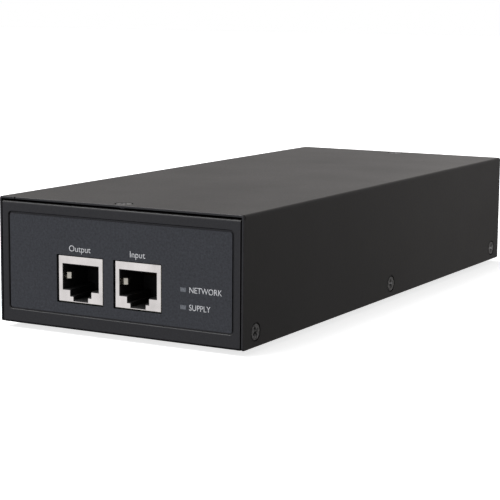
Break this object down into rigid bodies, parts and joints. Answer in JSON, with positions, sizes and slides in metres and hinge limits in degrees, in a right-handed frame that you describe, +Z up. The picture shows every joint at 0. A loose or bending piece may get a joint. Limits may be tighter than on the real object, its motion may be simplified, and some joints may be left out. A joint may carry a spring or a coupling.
{
  "type": "poe injector",
  "caption": "Desktop PoE injector: a flat black sheet-metal box with two shielded RJ45 ports and indicator lights in front and a mains inlet behind.",
  "frame": {"origin": "middle of the case, on the surface that the feet stand on", "axes": "+Z up, -Y out of the front panel with the RJ45 ports, +X to the right as seen from the front"},
  "size_m": [0.086, 0.202, 0.0406],
  "materials": {
    "powder_coat": "fine-textured satin black powder coat",
    "overlay_film": "fine-grained blue-grey printed film",
    "black_screw": "black oxide, satin",
    "foot_rubber": "matte black rubber",
    "black_nylon": "moulded black nylon",
    "nickel_brass": "nickel-plated brass",
    "zinc_steel": "bright zinc-plated steel",
    "clear_nylon": "milky nylon sleeve",
    "brown_insulation": "brown PVC",
    "blue_insulation": "blue PVC",
    "green_insulation": "green and yellow PVC",
    "tinned_copper": "tinned copper",
    "white_nylon": "natural nylon",
    "circuit_board": "green solder resist",
    "insulator_film": "black polycarbonate film",
    "brown_plastic": "brown moulded case",
    "blue_epoxy": "dipped blue epoxy",
    "green_epoxy": "dipped dark green epoxy",
    "yellow_box": "yellow moulded box",
    "ferrite": "dark grey sintered ferrite",
    "copper_enamel": "enamelled copper wire",
    "black_epoxy": "black moulding compound",
    "capacitor_sleeve": "shrunk dark sleeve over an aluminium can",
    "heatsink_aluminium": "extruded aluminium",
    "winding_tape": "yellow winding tape",
    "light_pipe": "smoky diffusing acrylic",
    "led_package": "white package",
    "nickel_steel": "satin nickel plate",
    "jack_plastic": "black glass-filled nylon",
    "gold_bronze": "gold-plated phosphor bronze"
  },
  "bodies": {
    "case": {"base_pan": "powder_coat", "board_screws": "zinc_steel", "board_standoffs": "zinc_steel", "bridge_rectifier": "black_epoxy", "bulk_capacitor": "capacitor_sleeve", "cover_screws": "black_screw", "data_transformer": "black_epoxy", "earth_nut": "zinc_steel", "earth_ring": "tinned_copper", "earth_stud": "zinc_steel", "earth_wire": "green_insulation", "filter_capacitor": "yellow_box", "filter_choke_core": "ferrite", "filter_choke_windings": "copper_enamel", "front_overlay": "overlay_film", "heatsink_screws": "zinc_steel", "inlet_nuts": "zinc_steel", "inlet_pins": "nickel_brass", "inlet_screws": "black_screw", "input_jack_housing": "jack_plastic", "input_jack_leads": "gold_bronze", "input_jack_shield": "nickel_steel", "inrush_thermistor": "green_epoxy", "insulating_sheet": "insulator_film", "live_wire": "brown_insulation", "main_board": "circuit_board", "mains_fuse": "brown_plastic", "mains_header": "white_nylon", "mains_inlet": "black_nylon", "network_led": "led_package", "network_light_pipe": "light_pipe", "neutral_wire": "blue_insulation", "optocoupler": "black_epoxy", "output_capacitors": "capacitor_sleeve", "output_choke": "ferrite", "output_jack_housing": "jack_plastic", "output_jack_leads": "gold_bronze", "output_jack_shield": "nickel_steel", "output_rectifier": "black_epoxy", "poe_controller": "black_epoxy", "power_led": "led_package", "power_light_pipe": "light_pipe", "primary_heatsink": "heatsink_aluminium", "rubber_feet": "foot_rubber", "secondary_heatsink": "heatsink_aluminium", "spade_terminals": "clear_nylon", "supply_controller": "black_epoxy", "surge_varistor": "blue_epoxy", "switching_transistor": "black_epoxy", "top_cover": "powder_coat", "transformer_bobbin": "black_nylon", "transformer_core": "ferrite", "transformer_winding": "winding_tape"},
    "output_contacts": {"output_jack_contacts": "gold_bronze"},
    "input_contacts": {"input_jack_contacts": "gold_bronze"}
  },
  "joints": [
    {"name": "output_contact_flex", "type": "hinge", "parent": "case", "child": "output_contacts", "pos_m": [-0.01335, -0.0979, 0.02175], "axis": [1, 0, 0], "range_deg": [0, 10], "stiffness_Nm_per_rad": 0.35},
    {"name": "input_contact_flex", "type": "hinge", "parent": "case", "child": "input_contacts", "pos_m": [0.00715, -0.0979, 0.02175], "axis": [1, 0, 0], "range_deg": [0, 10], "stiffness_Nm_per_rad": 0.35}
  ]
}
